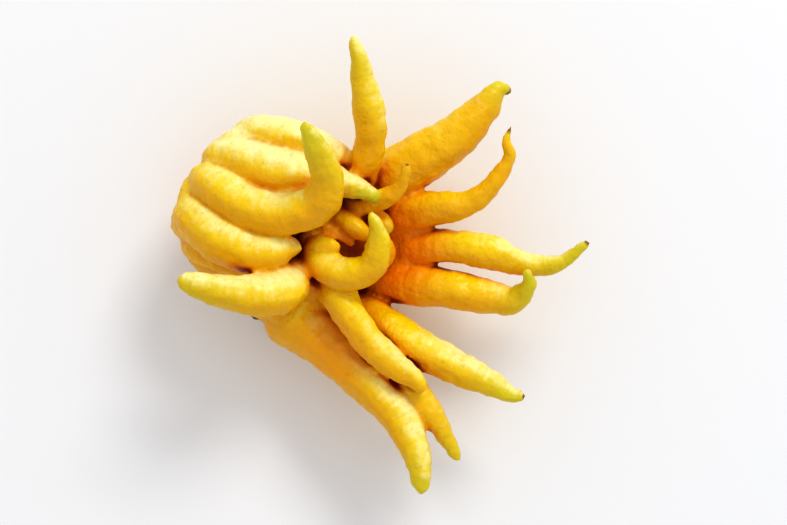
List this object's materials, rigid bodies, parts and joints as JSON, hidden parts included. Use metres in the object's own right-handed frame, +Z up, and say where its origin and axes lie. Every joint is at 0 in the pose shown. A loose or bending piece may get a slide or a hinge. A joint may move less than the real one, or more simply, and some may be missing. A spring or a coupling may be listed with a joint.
{
  "type": "buddhas hand citron fruit",
  "caption": "Whole fingered citron lying on its palm: a pear-shaped yellow body that splits into long tapering, curling fingers, with a cut stalk.",
  "frame": {"origin": "middle of the bounding box, on the surface that the fruit rests on", "axes": "+Z up, +Y along the longest extent, towards the tip of the straight upper finger; +X towards the long splayed fingers, away from the folded ones"},
  "size_m": [0.1828, 0.196, 0.1047],
  "materials": {
    "citron_rind": "semi-gloss waxy citrus rind, lemon yellow, orange in the hollows, green at some tips",
    "dried_stalk": "dull dried green-brown stalk with a pale cut face"
  },
  "bodies": {
    "root": {"fruit": "citron_rind", "stem": "dried_stalk"}
  },
  "joints": []
}
